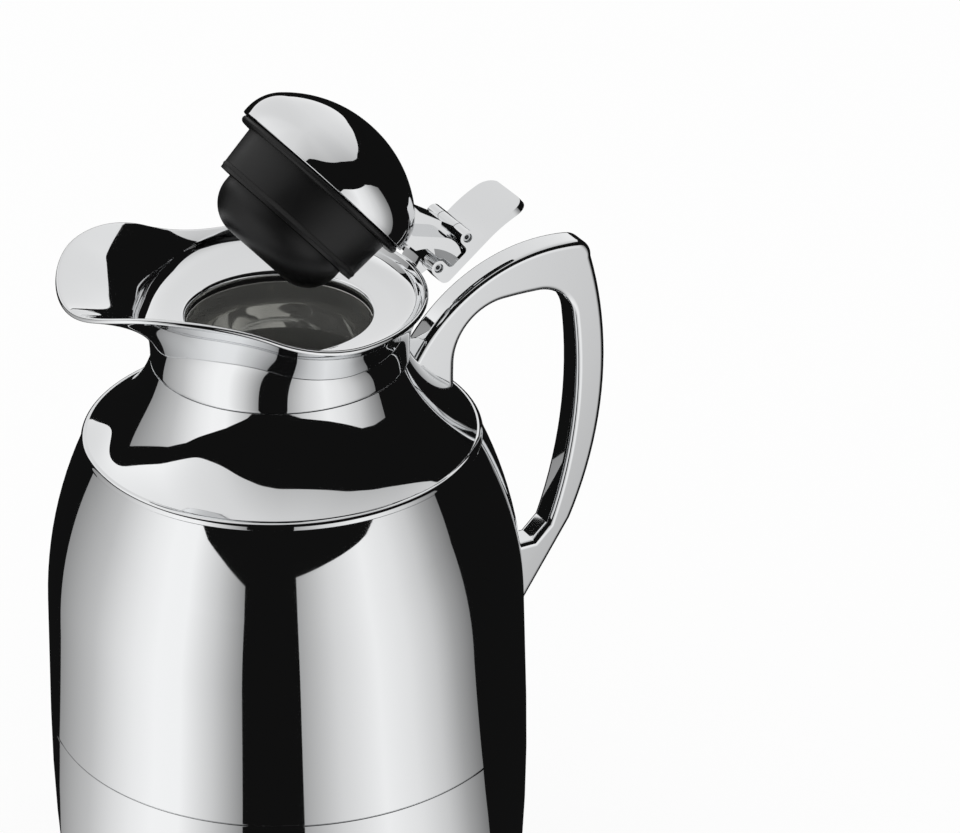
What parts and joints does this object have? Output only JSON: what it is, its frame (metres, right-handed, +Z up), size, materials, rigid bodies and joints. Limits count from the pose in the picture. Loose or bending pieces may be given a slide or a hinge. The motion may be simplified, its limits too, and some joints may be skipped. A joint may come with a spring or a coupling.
{
  "type": "thermal carafe",
  "caption": "Chromed thermal carafe with a glass flask, wide pouring spout, bar handle and a domed stopper lid that a thumb lever lifts.",
  "frame": {"origin": "on the body's axis, in the plane of the foot ring's underside, where the carafe stands", "axes": "+Z up along the body's axis; +X towards the handle, -X towards the spout; +Y along the hinge pins"},
  "size_m": [0.1864, 0.1502, 0.2988],
  "materials": {
    "polished_chrome": "mirror polish",
    "steel": "turned",
    "silvered_glass": "silvered on the vacuum side",
    "black_plastic": "satin moulded",
    "dark_plastic": "moulded",
    "rubber": "matte",
    "insulation": "plain"
  },
  "bodies": {
    "body": {"outer_jacket": "polished_chrome", "lower_shell": "polished_chrome", "shoulder": "polished_chrome", "pouring_collar": "polished_chrome", "hinge_lug": "polished_chrome", "handle": "polished_chrome", "lever_pin": "steel", "handle_screws": "steel", "handle_washers": "steel", "inner_flask": "silvered_glass", "outer_flask": "silvered_glass", "neck_sleeve": "dark_plastic", "joint_band": "dark_plastic", "base_ring": "dark_plastic", "base_cap": "dark_plastic", "foot_ring": "rubber", "flask_cushion": "rubber", "neck_gasket": "rubber", "flask_spacers": "insulation"},
    "lever": {"thumb_lever": "polished_chrome", "lid_pin": "steel"},
    "lid": {"lid_dome": "polished_chrome", "lid_arm": "polished_chrome", "arm_screws": "steel", "lid_core": "black_plastic", "stopper_body": "black_plastic", "stopper_seal": "rubber", "stopper_cup": "black_plastic", "stopper_foam": "insulation", "stopper_screw": "steel"}
  },
  "joints": [
    {"name": "lever_hinge", "type": "hinge", "parent": "body", "child": "lever", "pos_m": [0.0485, 0, 0.2391], "axis": [0, 1, 0], "range_deg": [-61, 8]},
    {"name": "lid_pivot", "type": "hinge", "parent": "lever", "child": "lid", "pos_m": [0.05844, 0, 0.24701], "axis": [0, 1, 0], "range_deg": [-2, 12.5]}
  ],
  "couplings": [
    {"joint": "lid_pivot", "follows": "lever_hinge", "ratio": -0.2}
  ]
}
